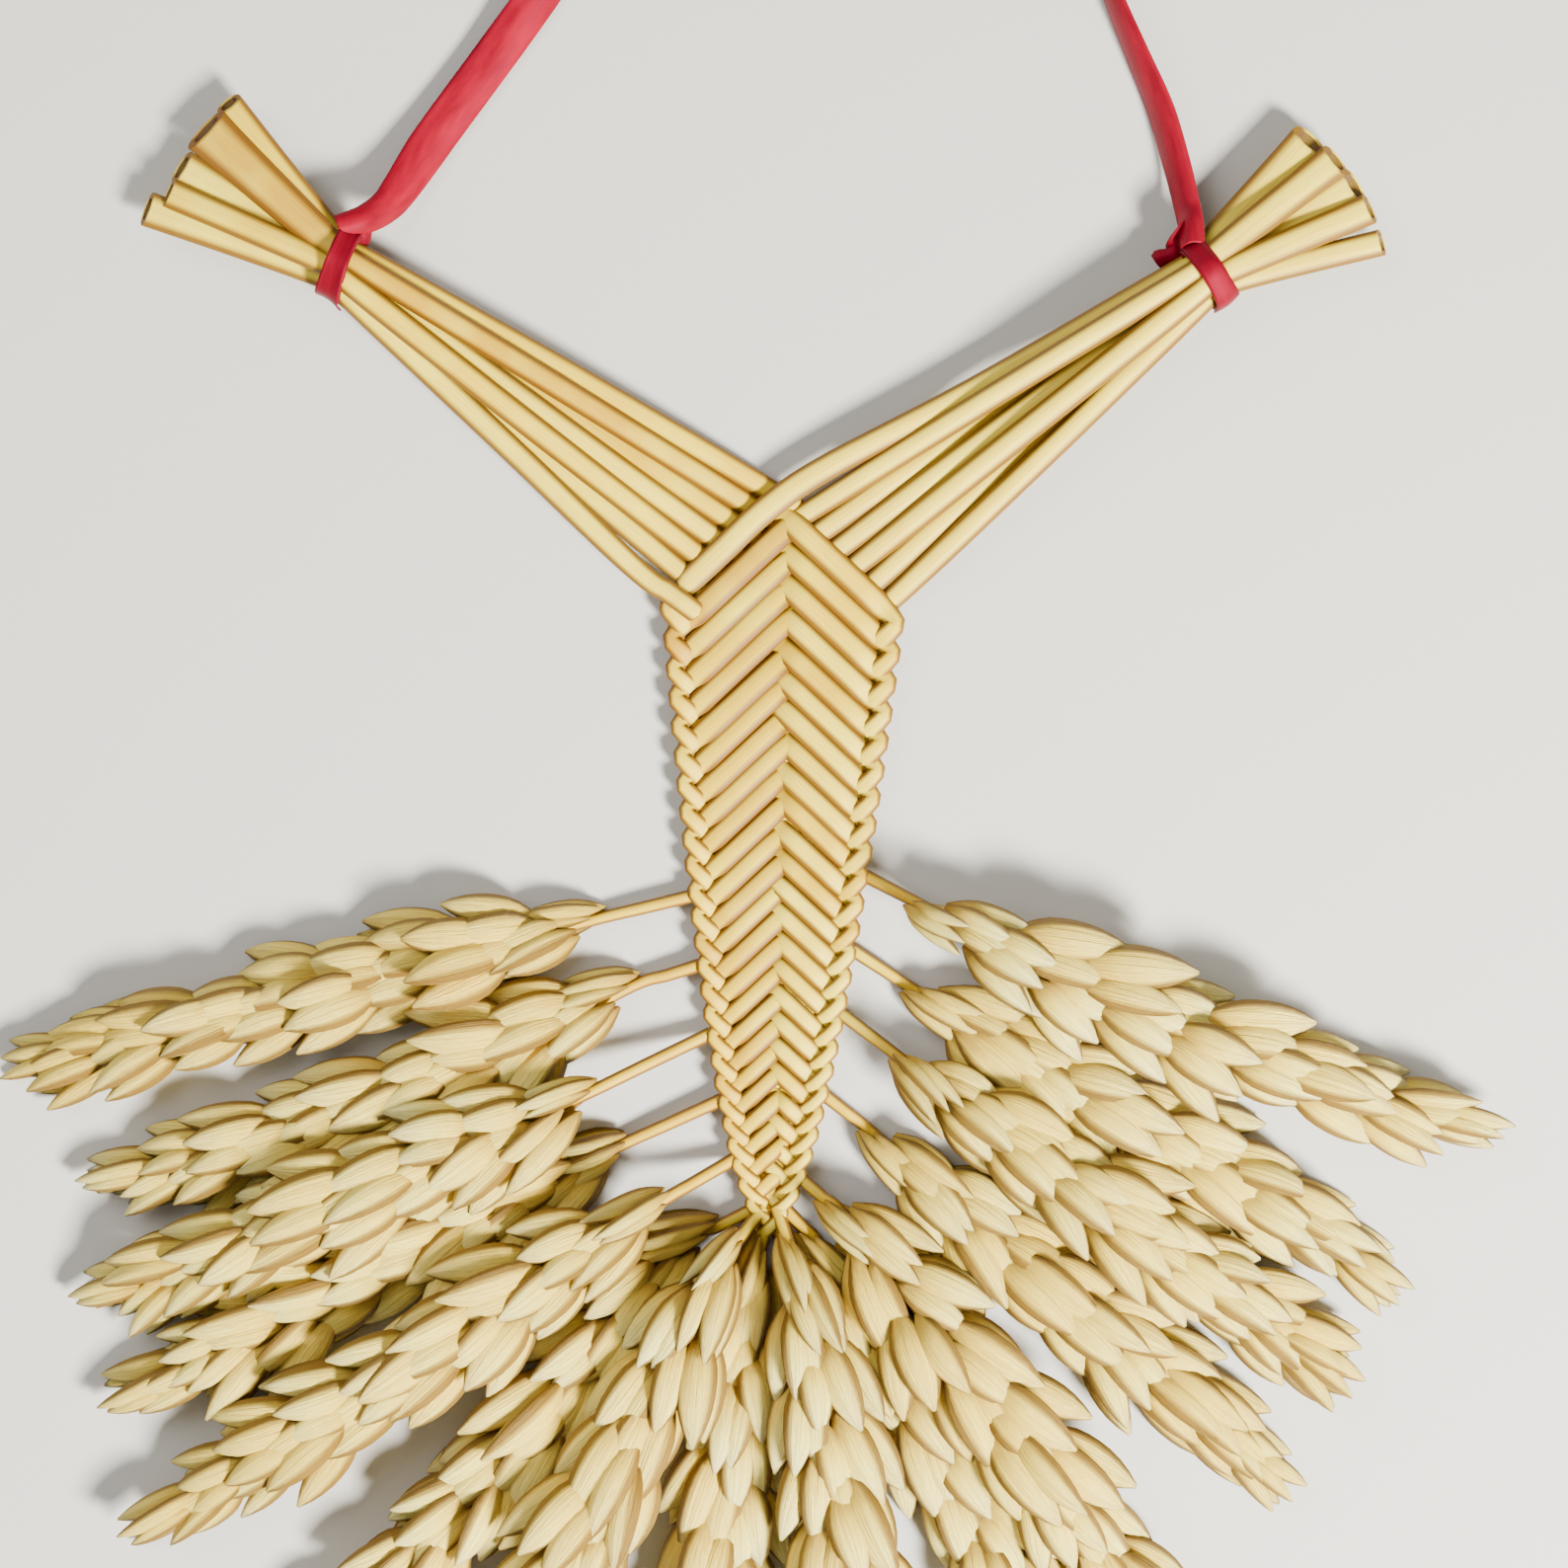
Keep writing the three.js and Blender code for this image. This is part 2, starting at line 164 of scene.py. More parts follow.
def ribbon_strip(centres, acrosses, widths, cups, closed=False):
    """A length of ribbon that follows the centres, each with its own direction across, width and hollow."""
    lanes = 10
    corners = []
    weave = []
    alongs = directions_along(centres)
    distance = 0.0
    for index, centre in enumerate(centres):
        if index:
            distance += (centre - centres[index - 1]).length
        across = acrosses[index].normalized()
        above = alongs[index].cross(across).normalized()
        section = []
        for lane in range(lanes + 1):
            place = 2 * lane / lanes - 1
            half_thick = ribbon_thickness / 2 * (1.0 if abs(place) > 0.85 else 0.8)
            middle = centre + across * place * widths[index] / 2 + above * cups[index] * (0.5 - place ** 2)
            section.append((middle, half_thick, place))
        for middle, half_thick, place in section:
            corners.append(middle - above * half_thick)
            weave.append(Vector((place, distance, 0)))
        for middle, half_thick, place in reversed(section):
            corners.append(middle + above * half_thick)
            weave.append(Vector((place, distance, 1)))
    return corners, ring_faces(len(centres), 2 * (lanes + 1), closed), weave


def ribbon_piece(name, strips):
    """One piece of ribbon made of the given strips."""
    corners = []
    faces = []
    weave = []
    for strip_corners, strip_faces, strip_weave in strips:
        faces += [tuple(len(corners) + corner for corner in face) for face in strip_faces]
        corners += strip_corners
        weave += strip_weave
    piece = mesh_piece(name, corners, faces)
    store_numbers(piece.data, "weave", weave)
    return piece


def new_node_group(name, kind, inputs, outputs):
    """An empty node group with its sockets, and its input and output nodes."""
    group = bpy.data.node_groups.new(name, kind)
    for socket, socket_kind, value in inputs:
        made = group.interface.new_socket(socket, in_out="INPUT", socket_type=f"NodeSocket{socket_kind}")
        if value is not None:
            made.default_value = value
    for socket, socket_kind in outputs:
        group.interface.new_socket(socket, in_out="OUTPUT", socket_type=f"NodeSocket{socket_kind}")
    return group, group.nodes.new("NodeGroupInput"), group.nodes.new("NodeGroupOutput")


def add_node(tree, kind, links=None, **settings):
    """A node with its settings, each input given as a value or as the socket that feeds it."""
    node = tree.nodes.new(kind)
    for name, value in settings.items():
        setattr(node, name, value)
    for socket, value in (links or {}).items():
        if isinstance(value, bpy.types.NodeSocket):
            tree.links.new(value, node.inputs[socket])
        else:
            node.inputs[socket].default_value = value
    return node


def add_math(tree, operation, *values):
    return add_node(tree, "ShaderNodeMath", dict(enumerate(values)), operation=operation).outputs[0]


def combined(tree, x, y, z):
    return add_node(tree, "ShaderNodeCombineXYZ", {0: x, 1: y, 2: z}).outputs[0]


def add_vector_math(tree, operation, first, second):
    second_socket = "Scale" if operation == "SCALE" else 1
    return add_node(tree, "ShaderNodeVectorMath", {0: first, second_socket: second},
                    operation=operation).outputs[0]


def new_material(name):
    material = bpy.data.materials.new(name)
    material.use_nodes = True
    tree = material.node_tree
    shader = tree.nodes["Principled BSDF"]
    return material, tree, shader


def make_thread_weave():
    """Fine warp and weft threads: a height for the bump and a slow unevenness for colour."""
    group, entry, leave = new_node_group(
        "satin_threads", "ShaderNodeTree",
        [("Place", "Vector", None), ("Warp", "Float", 60.0), ("Weft", "Float", 21000.0)],
        [("Height", "Float"), ("Uneven", "Float")])
    parts = add_node(group, "ShaderNodeSeparateXYZ", {0: entry.outputs["Place"]})
    warp = add_math(group, "SINE", add_math(group, "MULTIPLY", parts.outputs[0], entry.outputs["Warp"]))
    weft = add_math(group, "SINE", add_math(group, "MULTIPLY", parts.outputs[1], entry.outputs["Weft"]))
    both = add_math(group, "MULTIPLY_ADD", warp, 0.35, weft)
    spread = add_vector_math(group, "MULTIPLY", entry.outputs["Place"], (1.8, 160.0, 1.0))
    cloud = add_node(group, "ShaderNodeTexNoise", {"Vector": spread, "Scale": 1.0, "Detail": 3.0})
    group.links.new(both, leave.inputs["Height"])
    group.links.new(cloud.outputs[0], leave.inputs["Uneven"])
    return group


def mixed_colour(tree, factor, first, second):
    """A colour between two, each a colour or the socket that feeds it."""
    return add_node(tree, "ShaderNodeMix", {0: factor, 6: first, 7: second}, data_type="RGBA").outputs[2]


def fitted(tree, value, low, high, from_low=0.0, from_high=1.0):
    """A value fitted from one range into another and held inside it."""
    return add_node(tree, "ShaderNodeMapRange",
                    {0: value, 1: from_low, 2: from_high, 3: low, 4: high}).outputs[0]


def colour_at(tree, value, *stops):
    """The colour at a value, between stops that each give a position and a colour."""
    node = add_node(tree, "ShaderNodeValToRGB", {0: value})
    ramp = node.color_ramp.elements
    ramp.remove(ramp[1])
    ramp[0].position, ramp[0].color = stops[0]
    for position, colour in stops[1:]:
        ramp.new(position).color = colour
    return node.outputs[0]


def own_value(tree, name, output="Fac"):
    """What the mesh itself carries under a name."""
    return add_node(tree, "ShaderNodeAttribute", attribute_name=name).outputs[output]


def set_surface(tree, shader, colour, gloss, relief, constants):
    """Links what varies to the shader and sets what stays constant on its own sockets."""
    for socket, source in (("Base Color", colour), ("Roughness", gloss), ("Normal", relief.outputs[0])):
        tree.links.new(source, shader.inputs[socket])
    for socket, value in constants.items():
        shader.inputs[socket].default_value = value


def make_ribbon_material():
    material, tree, shader = new_material("red_satin")
    threads = add_node(tree, "ShaderNodeGroup", {"Place": own_value(tree, "weave", "Vector")},
                       node_tree=make_thread_weave())
    uneven = threads.outputs["Uneven"]
    dyed = colour_at(tree, uneven, (0.2, (0.13, 0.0003, 0.006, 1)), (0.85, (0.32, 0.0010, 0.018, 1)))
    # Painted shade: where the ribbon carries a tint, as on the ties, its colour is darkened to deep
    # crimson, standing in for the shade of ribbon wound round the bundle.
    deep = mixed_colour(tree, own_value(tree, "tint"), dyed, (0.10, 0.0004, 0.006, 1))
    relief = add_node(tree, "ShaderNodeBump",
                      {"Height": threads.outputs["Height"], "Strength": 0.12, "Distance": 0.00003})
    set_surface(tree, shader, deep, fitted(tree, uneven, 0.48, 0.64), relief, {
        "Sheen Weight": 0.04, "Sheen Roughness": 0.35, "Specular IOR Level": 0.42,
        "Specular Tint": (1.0, 0.13, 0.26, 1)})
    return material


red_satin = make_ribbon_material()


def make_hanging_ribbon():
    line = smooth_line(loop_route, ribbon_steps)
    centres = [Vector(point[:3]) for point in line]
    alongs = directions_along(centres)
    acrosses = []
    for point, along in zip(line, alongs):
        level = Vector((-along.y, along.x, 0)).normalized()
        above = along.cross(level)
        turn = math.radians(point[3])
        acrosses.append(level * math.cos(turn) + above * math.sin(turn))
    widths = []
    cups = []
    for index in range(len(centres)):
        from_end = min(index, len(centres) - 1 - index) / len(centres)
        gathered = 1 - min(from_end / gathered_share, 1.0)
        widths.append(ribbon_width * (1 - 0.44 * gathered))
        cups.append(ribbon_cup * (1 + 0.4 * gathered))
    piece = ribbon_piece("ribbon_loop_satin", [ribbon_strip(centres, acrosses, widths, cups)])
    piece.data.materials.append(red_satin)
    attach(piece, "root")
    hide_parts("ribbon_loop")


make_hanging_ribbon()


# Straws
# Every straw is a hollow wheat stem, about 3 mm across, damped and pressed flat where it is woven. All of
# them are swept along their own lines: a tree takes each point's directions, half width and half thickness.
straw_sides = 14
stem_glow = (1.0, 0.42, 0.12)


def new_geometry_tree(name, inputs):
    return new_node_group(name, "GeometryNodeTree", [("Geometry", "Geometry", None)] + inputs,
                          [("Geometry", "Geometry")])


def named_field(tree, name, data_type="FLOAT"):
    return add_node(tree, "GeometryNodeInputNamedAttribute", {"Name": name},
                    data_type=data_type).outputs["Attribute"]


def stored_field(tree, geometry, name, value, data_type, domain):
    return add_node(tree, "GeometryNodeStoreNamedAttribute",
                    {"Geometry": geometry, "Name": name, "Value": value},
                    data_type=data_type, domain=domain).outputs[0]


def is_above(tree, first, second):
    return add_node(tree, "FunctionNodeCompare", {0: first, 1: second},
                    data_type="FLOAT", operation="GREATER_THAN").outputs[0]


def joined_test(tree, operation, first, second):
    return add_node(tree, "FunctionNodeBooleanMath", {0: first, 1: second}, operation=operation).outputs[0]


def make_straw_tree():
    """Sweeps each line into a straw, and sinks a bore in its far end where Bore Depth is above nought."""
    tree, entry, leave = new_geometry_tree("straw_sweep", [
        ("Sides", "Int", straw_sides), ("Bore Depth", "Float", 0.0), ("Bore Share", "Float", 0.66),
        ("Finish", "Material", None),
    ])
    line = add_node(tree, "GeometryNodeMeshToCurve", {"Mesh": entry.outputs["Geometry"]})
    place = add_node(tree, "GeometryNodeInputPosition")
    spline = add_node(tree, "GeometryNodeSplineParameter")
    held = add_node(tree, "GeometryNodeCaptureAttribute", {"Geometry": line.outputs[0]})
    for kind, name, source in (
            ("VECTOR", "Centre", place.outputs[0]), ("FLOAT", "Share", spline.outputs["Factor"]),
            ("FLOAT", "Distance", spline.outputs["Length"])):
        held.capture_items.new(kind, name)
        tree.links.new(source, held.inputs[name])
    ring = add_node(tree, "GeometryNodeCurvePrimitiveCircle",
                    {"Resolution": entry.outputs["Sides"], "Radius": 0.001})
    round_ring = add_node(tree, "GeometryNodeCaptureAttribute", {"Geometry": ring.outputs[0]})
    round_ring.capture_items.new("FLOAT", "Turn")
    ring_spline = add_node(tree, "GeometryNodeSplineParameter")
    tree.links.new(ring_spline.outputs["Factor"], round_ring.inputs["Turn"])
    tube = add_node(tree, "GeometryNodeCurveToMesh", {
        "Curve": held.outputs["Geometry"], "Profile Curve": round_ring.outputs["Geometry"],
        "Fill Caps": True})
    turn = add_math(tree, "MULTIPLY", round_ring.outputs["Turn"], 2 * math.pi)
    cosine = add_math(tree, "COSINE", turn)
    sine = add_math(tree, "SINE", turn)
    across = named_field(tree, "across", "FLOAT_VECTOR")
    along = named_field(tree, "along", "FLOAT_VECTOR")
    above = add_vector_math(tree, "CROSS_PRODUCT", along, across)
    half_width = named_field(tree, "half_width")
    half_thick = named_field(tree, "half_thick")
    sideways = add_vector_math(tree, "SCALE", across, add_math(tree, "MULTIPLY", cosine, half_width))
    upwards = add_vector_math(tree, "SCALE", above, add_math(tree, "MULTIPLY", sine, half_thick))
    offset = add_vector_math(tree, "ADD", sideways, upwards)
    slant = add_math(tree, "MULTIPLY", sine, named_field(tree, "slant"))
    section = add_vector_math(tree, "SUBTRACT", offset, add_vector_math(tree, "SCALE", along, slant))
    surface = add_vector_math(tree, "ADD", held.outputs["Centre"], section)
    shaped = add_node(tree, "GeometryNodeSetPosition", {"Geometry": tube.outputs[0], "Position": surface})
    fibre = combined(tree, cosine, sine, held.outputs["Distance"])
    marked = stored_field(tree, shaped.outputs[0], "fibre", fibre, "FLOAT_VECTOR", "POINT")
    corners = add_node(tree, "GeometryNodeInputMeshFaceNeighbors")
    is_cap = is_above(tree, corners.outputs["Vertex Count"], 4.0)
    is_far = is_above(tree, held.outputs["Share"], 0.999)
    has_bore = is_above(tree, entry.outputs["Bore Depth"], 0.0)
    cut_end = joined_test(tree, "AND", joined_test(tree, "AND", is_cap, is_far), has_bore)
    rim = add_node(tree, "GeometryNodeExtrudeMesh", {
        "Mesh": marked, "Selection": cut_end, "Offset Scale": 0.0, "Individual": False})
    mouth = add_node(tree, "GeometryNodeScaleElements", {
        "Geometry": rim.outputs["Mesh"], "Selection": rim.outputs["Top"],
        "Scale": entry.outputs["Bore Share"]})
    depth = add_math(tree, "MULTIPLY", entry.outputs["Bore Depth"], -1.0)
    bored = add_node(tree, "GeometryNodeExtrudeMesh", {
        "Mesh": mouth.outputs[0], "Selection": rim.outputs["Top"], "Offset": along, "Offset Scale": depth,
        "Individual": False})
    inside = joined_test(tree, "OR", bored.outputs["Top"], bored.outputs["Side"])
    hollow = stored_field(tree, bored.outputs["Mesh"], "hollow", inside, "FLOAT", "FACE")
    whole = add_node(tree, "GeometryNodeRealizeInstances", {"Geometry": hollow})
    rounded = add_node(tree, "GeometryNodeSetShadeSmooth", {"Geometry": whole.outputs[0]})
    finished = add_node(tree, "GeometryNodeSetMaterial", {
        "Geometry": rounded.outputs[0], "Material": entry.outputs["Finish"]})
    tree.links.new(finished.outputs[0], leave.inputs[0])
    return tree


straw_tree = make_straw_tree()


def strand_point(centre, along, across, half_width, half_thick, tint, slant=0.0):
    return {"centre": centre, "along": along.normalized(), "across": across.normalized(),
            "half_width": half_width, "half_thick": half_thick, "tint": tint, "slant": slant}


def lines_piece(name, strands):
    """A mesh of bare lines, one for each strand, whose points carry what the sweep needs."""
    points = [point for strand in strands for point in strand]
    edges = []
    first = 0
    for strand in strands:
        edges += [(first + index, first + index + 1) for index in range(len(strand) - 1)]
        first += len(strand)
    piece = mesh_piece(name, [point["centre"] for point in points], [], edges)
    for key in ("along", "across", "half_width", "half_thick", "tint", "slant"):
        store_numbers(piece.data, key, [point[key] for point in points])
    return piece


def grow(piece, tree, settings):
    """Runs a geometry tree on the piece and keeps its result as the piece's own plain mesh."""
    modifier = piece.modifiers.new(tree.name, "NODES")
    modifier.node_group = tree
    for item in tree.interface.items_tree:
        if item.name in settings:
            modifier[item.identifier] = settings[item.name]
    evaluated = piece.evaluated_get(bpy.context.evaluated_depsgraph_get())
    grown = bpy.data.meshes.new_from_object(evaluated)
    piece.modifiers.clear()
    piece.data = grown
    return piece


def make_fibre_grain():
    """Fine fibres along a straw or husk: streaks, broad patches, ribs for the bump and a mask for painted
    shade along the sides.
    """
    group, entry, leave = new_node_group(
        "lengthwise_fibres", "ShaderNodeTree",
        [("Place", "Vector", None), ("Fineness", "Float", 8.0), ("Stretch", "Float", 75.0),
         ("Side From", "Float", 0.62), ("Side To", "Float", 0.84)],
        [("Streak", "Float"), ("Rib", "Float"), ("Patch", "Float"), ("Side", "Float")])
    parts = add_node(group, "ShaderNodeSeparateXYZ", {0: entry.outputs["Place"]})
    x = add_math(group, "MULTIPLY", parts.outputs[0], entry.outputs["Fineness"])
    y = add_math(group, "MULTIPLY", parts.outputs[1], entry.outputs["Fineness"])
    z = add_math(group, "MULTIPLY", parts.outputs[2], entry.outputs["Stretch"])
    drawn = combined(group, x, y, z)
    place = add_node(group, "ShaderNodeNewGeometry").outputs["Position"]
    for output, vector, scale, detail, roughness in (
            ("Streak", drawn, 1.0, 4.0, 0.65), ("Rib", drawn, 2.3, 1.0, 0.5),
            ("Patch", place, 95.0, 2.0, 0.5)):
        noise = add_node(group, "ShaderNodeTexNoise", {
            "Vector": vector, "Scale": scale, "Detail": detail, "Roughness": roughness})
        group.links.new(noise.outputs[0], leave.inputs[output])
    # Side: nought in the middle of the cross-section and one at its edges, where painted shade goes where
    # neighbours meet.
    level = add_math(group, "ABSOLUTE", parts.outputs[0])
    side = fitted(group, level, 0.0, 1.0, entry.outputs["Side From"], entry.outputs["Side To"])
    group.links.new(side, leave.inputs["Side"])
    return group


fibre_grain = make_fibre_grain()


def make_straw_material():
    """Dry wheat stem: pale yellow to deep gold from straw to straw, fine fibres and a waxy gloss."""
    material, tree, shader = new_material("golden_straw")
    grain = add_node(tree, "ShaderNodeGroup", {
        "Place": own_value(tree, "fibre", "Vector"), "Fineness": 7.0, "Stretch": 60.0,
        "Side From": 0.44, "Side To": 0.78}, node_tree=fibre_grain)
    streak = grain.outputs["Streak"]
    hue = colour_at(tree, own_value(tree, "tint"), (0.0, (0.90, 0.73, 0.075, 1)),
                    (0.5, (0.78, 0.54, 0.010, 1)), (1.0, (0.58, 0.35, 0.006, 1)))
    darker = mixed_colour(tree, fitted(tree, streak, 0.0, 0.55, 0.35, 0.72), hue, (0.44, 0.20, 0.016, 1))
    pale = fitted(tree, grain.outputs["Patch"], 0.0, 0.40, 0.45, 0.75)
    clean = mixed_colour(tree, pale, darker, (0.95, 0.81, 0.070, 1))
    # Painted shade: the sides of every straw are darkened to deep brown, standing in for the shade in the
    # grooves between straws.
    painted_groove_shade = add_math(tree, "MULTIPLY", grain.outputs["Side"], 0.9)
    outer = mixed_colour(tree, painted_groove_shade, clean, (0.13, 0.040, 0.003, 1))
    # Painted shade: the inside of each bore is coloured dark brown, standing in for the shade in the
    # hollow.
    painted_bore_shade = add_math(tree, "MULTIPLY", own_value(tree, "hollow"), 0.9)
    coloured = mixed_colour(tree, painted_bore_shade, outer, (0.085, 0.034, 0.008, 1))
    relief = add_node(tree, "ShaderNodeBump",
                      {"Height": grain.outputs["Rib"], "Strength": 0.35, "Distance": 0.0001})
    set_surface(tree, shader, coloured, fitted(tree, streak, 0.36, 0.60), relief, {
        "Specular IOR Level": 0.26, "Subsurface Weight": 0.08, "Subsurface Radius": stem_glow,
        "Subsurface Scale": 0.0012})
    return material


golden_straw = make_straw_material()


# Plait
# The woven body: straws laid to and fro in two layers, each folded over at the edge so that it lies on top
# up to the middle, then dives under the other side's straws. It is drawn in towards its foot.
plait_low, plait_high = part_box("plait")
fold_bulge = 0.0005
foot_width = 0.0034
shoulder_width = 0.0354
widening = 0.58
leg_slope = 0.93
plait_lean = 0.0020
plait_length = 0.0876
foot_x = 0.0032
foot_y = plait_low[1]
shoulder_y = foot_y + plait_length
plait_thickness = plait_high[2]
fold_count = 25
fold_taper = 0.25
pressed_half = 0.00074
layer_low = 0.00080
layer_high = plait_thickness - pressed_half
middle_dip = 0.0016
leg_width = 1.20
shingle_tilt = 0.15
nub_tuck = 0.0009
nub_narrowing = 0.26
under_widening = 0.34
corner_round = 0.0005
leg_overlap = 0.0022
fold_unevenness = 0.00012
slope_unevenness = 0.012
most_sag = 0.00012
top_steps = 14
under_steps = 12
dive_start = 0.0017
dive_end = 0.0040


def plait_half_width(edge_y):
    share = min(max((edge_y - foot_y) / plait_length, 0.0), 1.0)
    return (foot_width + (shoulder_width - foot_width) * share ** widening) / 2


def plait_middle(edge_y):
    return foot_x + plait_lean * (edge_y - foot_y) / plait_length


def fold_height(fold):
    """Height on the edge of a fold, counted down from the shoulders; folds draw closer at the foot."""
    share = fold / fold_count
    return shoulder_y - plait_length * share * (1 + fold_taper - fold_taper * share)


def smooth_step(low, high, value):
    t = min(max((value - low) / (high - low), 0.0), 1.0)
    return t * t * (3 - 2 * t)


def make_fold(hand, fold, dice, runs_into_arm=False):
    """One straw's turn at an edge: down the top from the middle, round the edge, and back in underneath."""
    edge_y = fold_height(fold) + dice.uniform(-fold_unevenness, fold_unevenness)
    pitch = fold_height(fold - 0.5) - fold_height(fold + 0.5)
    half = plait_half_width(edge_y)
    middle = plait_middle(edge_y)
    slope = leg_slope + dice.uniform(-slope_unevenness, slope_unevenness)
    half_width = pitch * leg_width * math.cos(math.atan(slope)) / 2 * dice.uniform(0.95, 1.05)
    corner_x = half + fold_bulge - half_width * 0.78
    reach = corner_x + leg_overlap
    gold = (0.56 if hand < 0 else 0.32) - 0.10 * fold / fold_count
    tint = min(max(dice.gauss(gold, 0.18), 0.0), 1.0)
    sag = dice.uniform(0.0, most_sag)
    dip_from = (-0.0002 if hand < 0 else -0.0016) + dice.uniform(-0.0007, 0.0005)
    dip_to = dip_from + 0.0021
    first = -0.0012 if runs_into_arm else -reach
    stations = [first * (1 - step / top_steps) for step in range(top_steps)] + [0.0]
    stations += [reach * (step / under_steps) ** 1.5 for step in range(1, under_steps + 1)]
    plan = []
    for station in stations:
        inward = math.sqrt(station ** 2 + corner_round ** 2) - corner_round * 0.4
        x = corner_x - inward
        y = edge_y - station * slope
        if station < 0:
            height = layer_high - sag - nub_tuck * smooth_step(-0.0042, -0.0024, station)
            height += nub_tuck * smooth_step(-0.0012, 0.0, station)
            height -= middle_dip * smooth_step(dip_from, dip_to, -x)
        else:
            height = layer_high + (layer_low - layer_high) * smooth_step(dive_start, dive_end, station)
        plan.append(Vector((middle + hand * x, y, max(height, layer_low))))
    points = []
    for station, centre, along in zip(stations, plan, directions_along(plan)):
        level = Vector((-along.y, along.x, 0)).normalized()
        on_top = 1 - smooth_step(-0.0045, -0.0020, station)
        level.z = -math.copysign(math.tan(shingle_tilt), level.y) * on_top
        folded = nub_narrowing * smooth_step(-0.0030, 0.0, station)
        pressed_out = under_widening * smooth_step(0.0012, 0.0040, station)
        wide = half_width * (1 - folded + pressed_out)
        points.append(strand_point(centre, along, level, wide, pressed_half, tint))
    return points


def make_plait():
    dice = random.Random(11)
    strands = []
    for fold in range(fold_count):
        for hand in (-1, 1):
            step = 0.25 if hand < 0 else 0.75
            strands.append(make_fold(hand, fold + step, dice, runs_into_arm=fold == 0 and hand < 0))
    piece = lines_piece("plait_woven", strands)
    grow(piece, straw_tree, {"Sides": straw_sides, "Finish": golden_straw})
    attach(piece, "root")
    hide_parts("plait")


make_plait()


# Arm straws
# The upper ends of the straws leave the shoulders in two sheaves of seven, round again and a little
# flattened. Each sheaf narrows to its tie, and the cut ends, hollow and pressed open, spread beyond it.
straw_diameter = 0.0031
straws_per_arm = 7
# From the upper straw of an arm to its lowest, in metres from the tie's middle: where the cut end lies
# across the arm and along it, how wide it is pressed open; then the colour, 0 for pale, 1 for orange gold.
cut_ends = {
    "left": [
        (-0.0092, 0.0265, 0.0040, 0.45), (-0.0043, 0.0268, 0.0072, 0.95), (-0.0010, 0.0220, 0.0040, 0.70),
        (0.0020, 0.0266, 0.0052, 0.18), (0.0060, 0.0258, 0.0042, 0.40), (0.0056, 0.0225, 0.0036, 0.20),
        (0.0096, 0.0271, 0.0050, 0.08),
    ],
    # These colours are partly the straws' own and partly painted light: they were set paler to brighten a
    # sheaf that lies in the lamp's shade.
    "right": [
        (-0.0066, 0.0240, 0.0058, 0.12), (-0.0022, 0.0252, 0.0052, 0.05), (-0.0006, 0.0225, 0.0042, 0.15),
        (0.0022, 0.0253, 0.0056, 0.02), (0.0062, 0.0250, 0.0044, 0.10), (0.0048, 0.0215, 0.0036, 0.15),
        (0.0110, 0.0237, 0.0038, 0.12),
    ],
}
cut_slant = 0.0010
arm_steps = 48
bundle_pitch = 0.0030
band_outer = 0.0052
arm_shapes = {
    "left": {"hand": -1, "angle": 144.0, "tie_distance": 0.0664, "crossing": (0.0, 0.0014)},
    "right": {"hand": 1, "angle": 36.5, "tie_distance": 0.0625, "crossing": (0.0011, 0.0002)},
}


def arm_frame(arm):
    """The arm's direction, the direction across it away from the other arm's side, and its tie's middle."""
    angle = math.radians(arm["angle"])
    along = Vector((math.cos(angle), math.sin(angle), 0))
    outward = Vector((-along.y, along.x, 0)) * -arm["hand"]
    half = plait_half_width(shoulder_y)
    shoulder = Vector((plait_middle(shoulder_y) + arm["hand"] * half / 2,
                       shoulder_y + half / 2 * leg_slope, 0))
    tie = shoulder + along * arm["tie_distance"]
    tie.z = band_outer
    return along, outward, tie


def bundle_places():
    rise = bundle_pitch * math.sqrt(3) / 2
    half = bundle_pitch / 2
    return [(-bundle_pitch, 0), (-half, rise), (-half, -rise), (0, 0), (half, rise), (half, -rise),
            (bundle_pitch, 0)]


def arm_straw_lead(side, index, start, along):
    """Where a straw comes from inside the plait: most from underneath, two of them over the first leg."""
    if (side, index) == ("right", 0):
        edge_y = fold_height(0.25)
        half = plait_half_width(edge_y)
        middle = plait_middle(edge_y)
        lead = [Vector((middle - half * share, edge_y + half * (1 - share) * leg_slope, layer_high + rise))
                for share, rise in ((0.84, -0.0009), (0.5, 0.0001), (0.14, 0.0007))]
        crossing = start + along * 0.0060
        crossing.z = layer_high + 0.0010
        return lead + [crossing]
    if (side, index) == ("left", 6):
        tucked = start - along * 0.0054
        tucked.z = layer_high + 0.0012
        over = start - along * 0.0026
        over.z = layer_high + 0.0015
        outside = start.copy()
        outside.z = layer_high + 0.0013
        leaving = start + along * 0.0060
        leaving.z = outside.z
        return [tucked, over, outside, leaving]
    inside = start - along * 0.0030
    inside.z = layer_low
    return [inside, start]


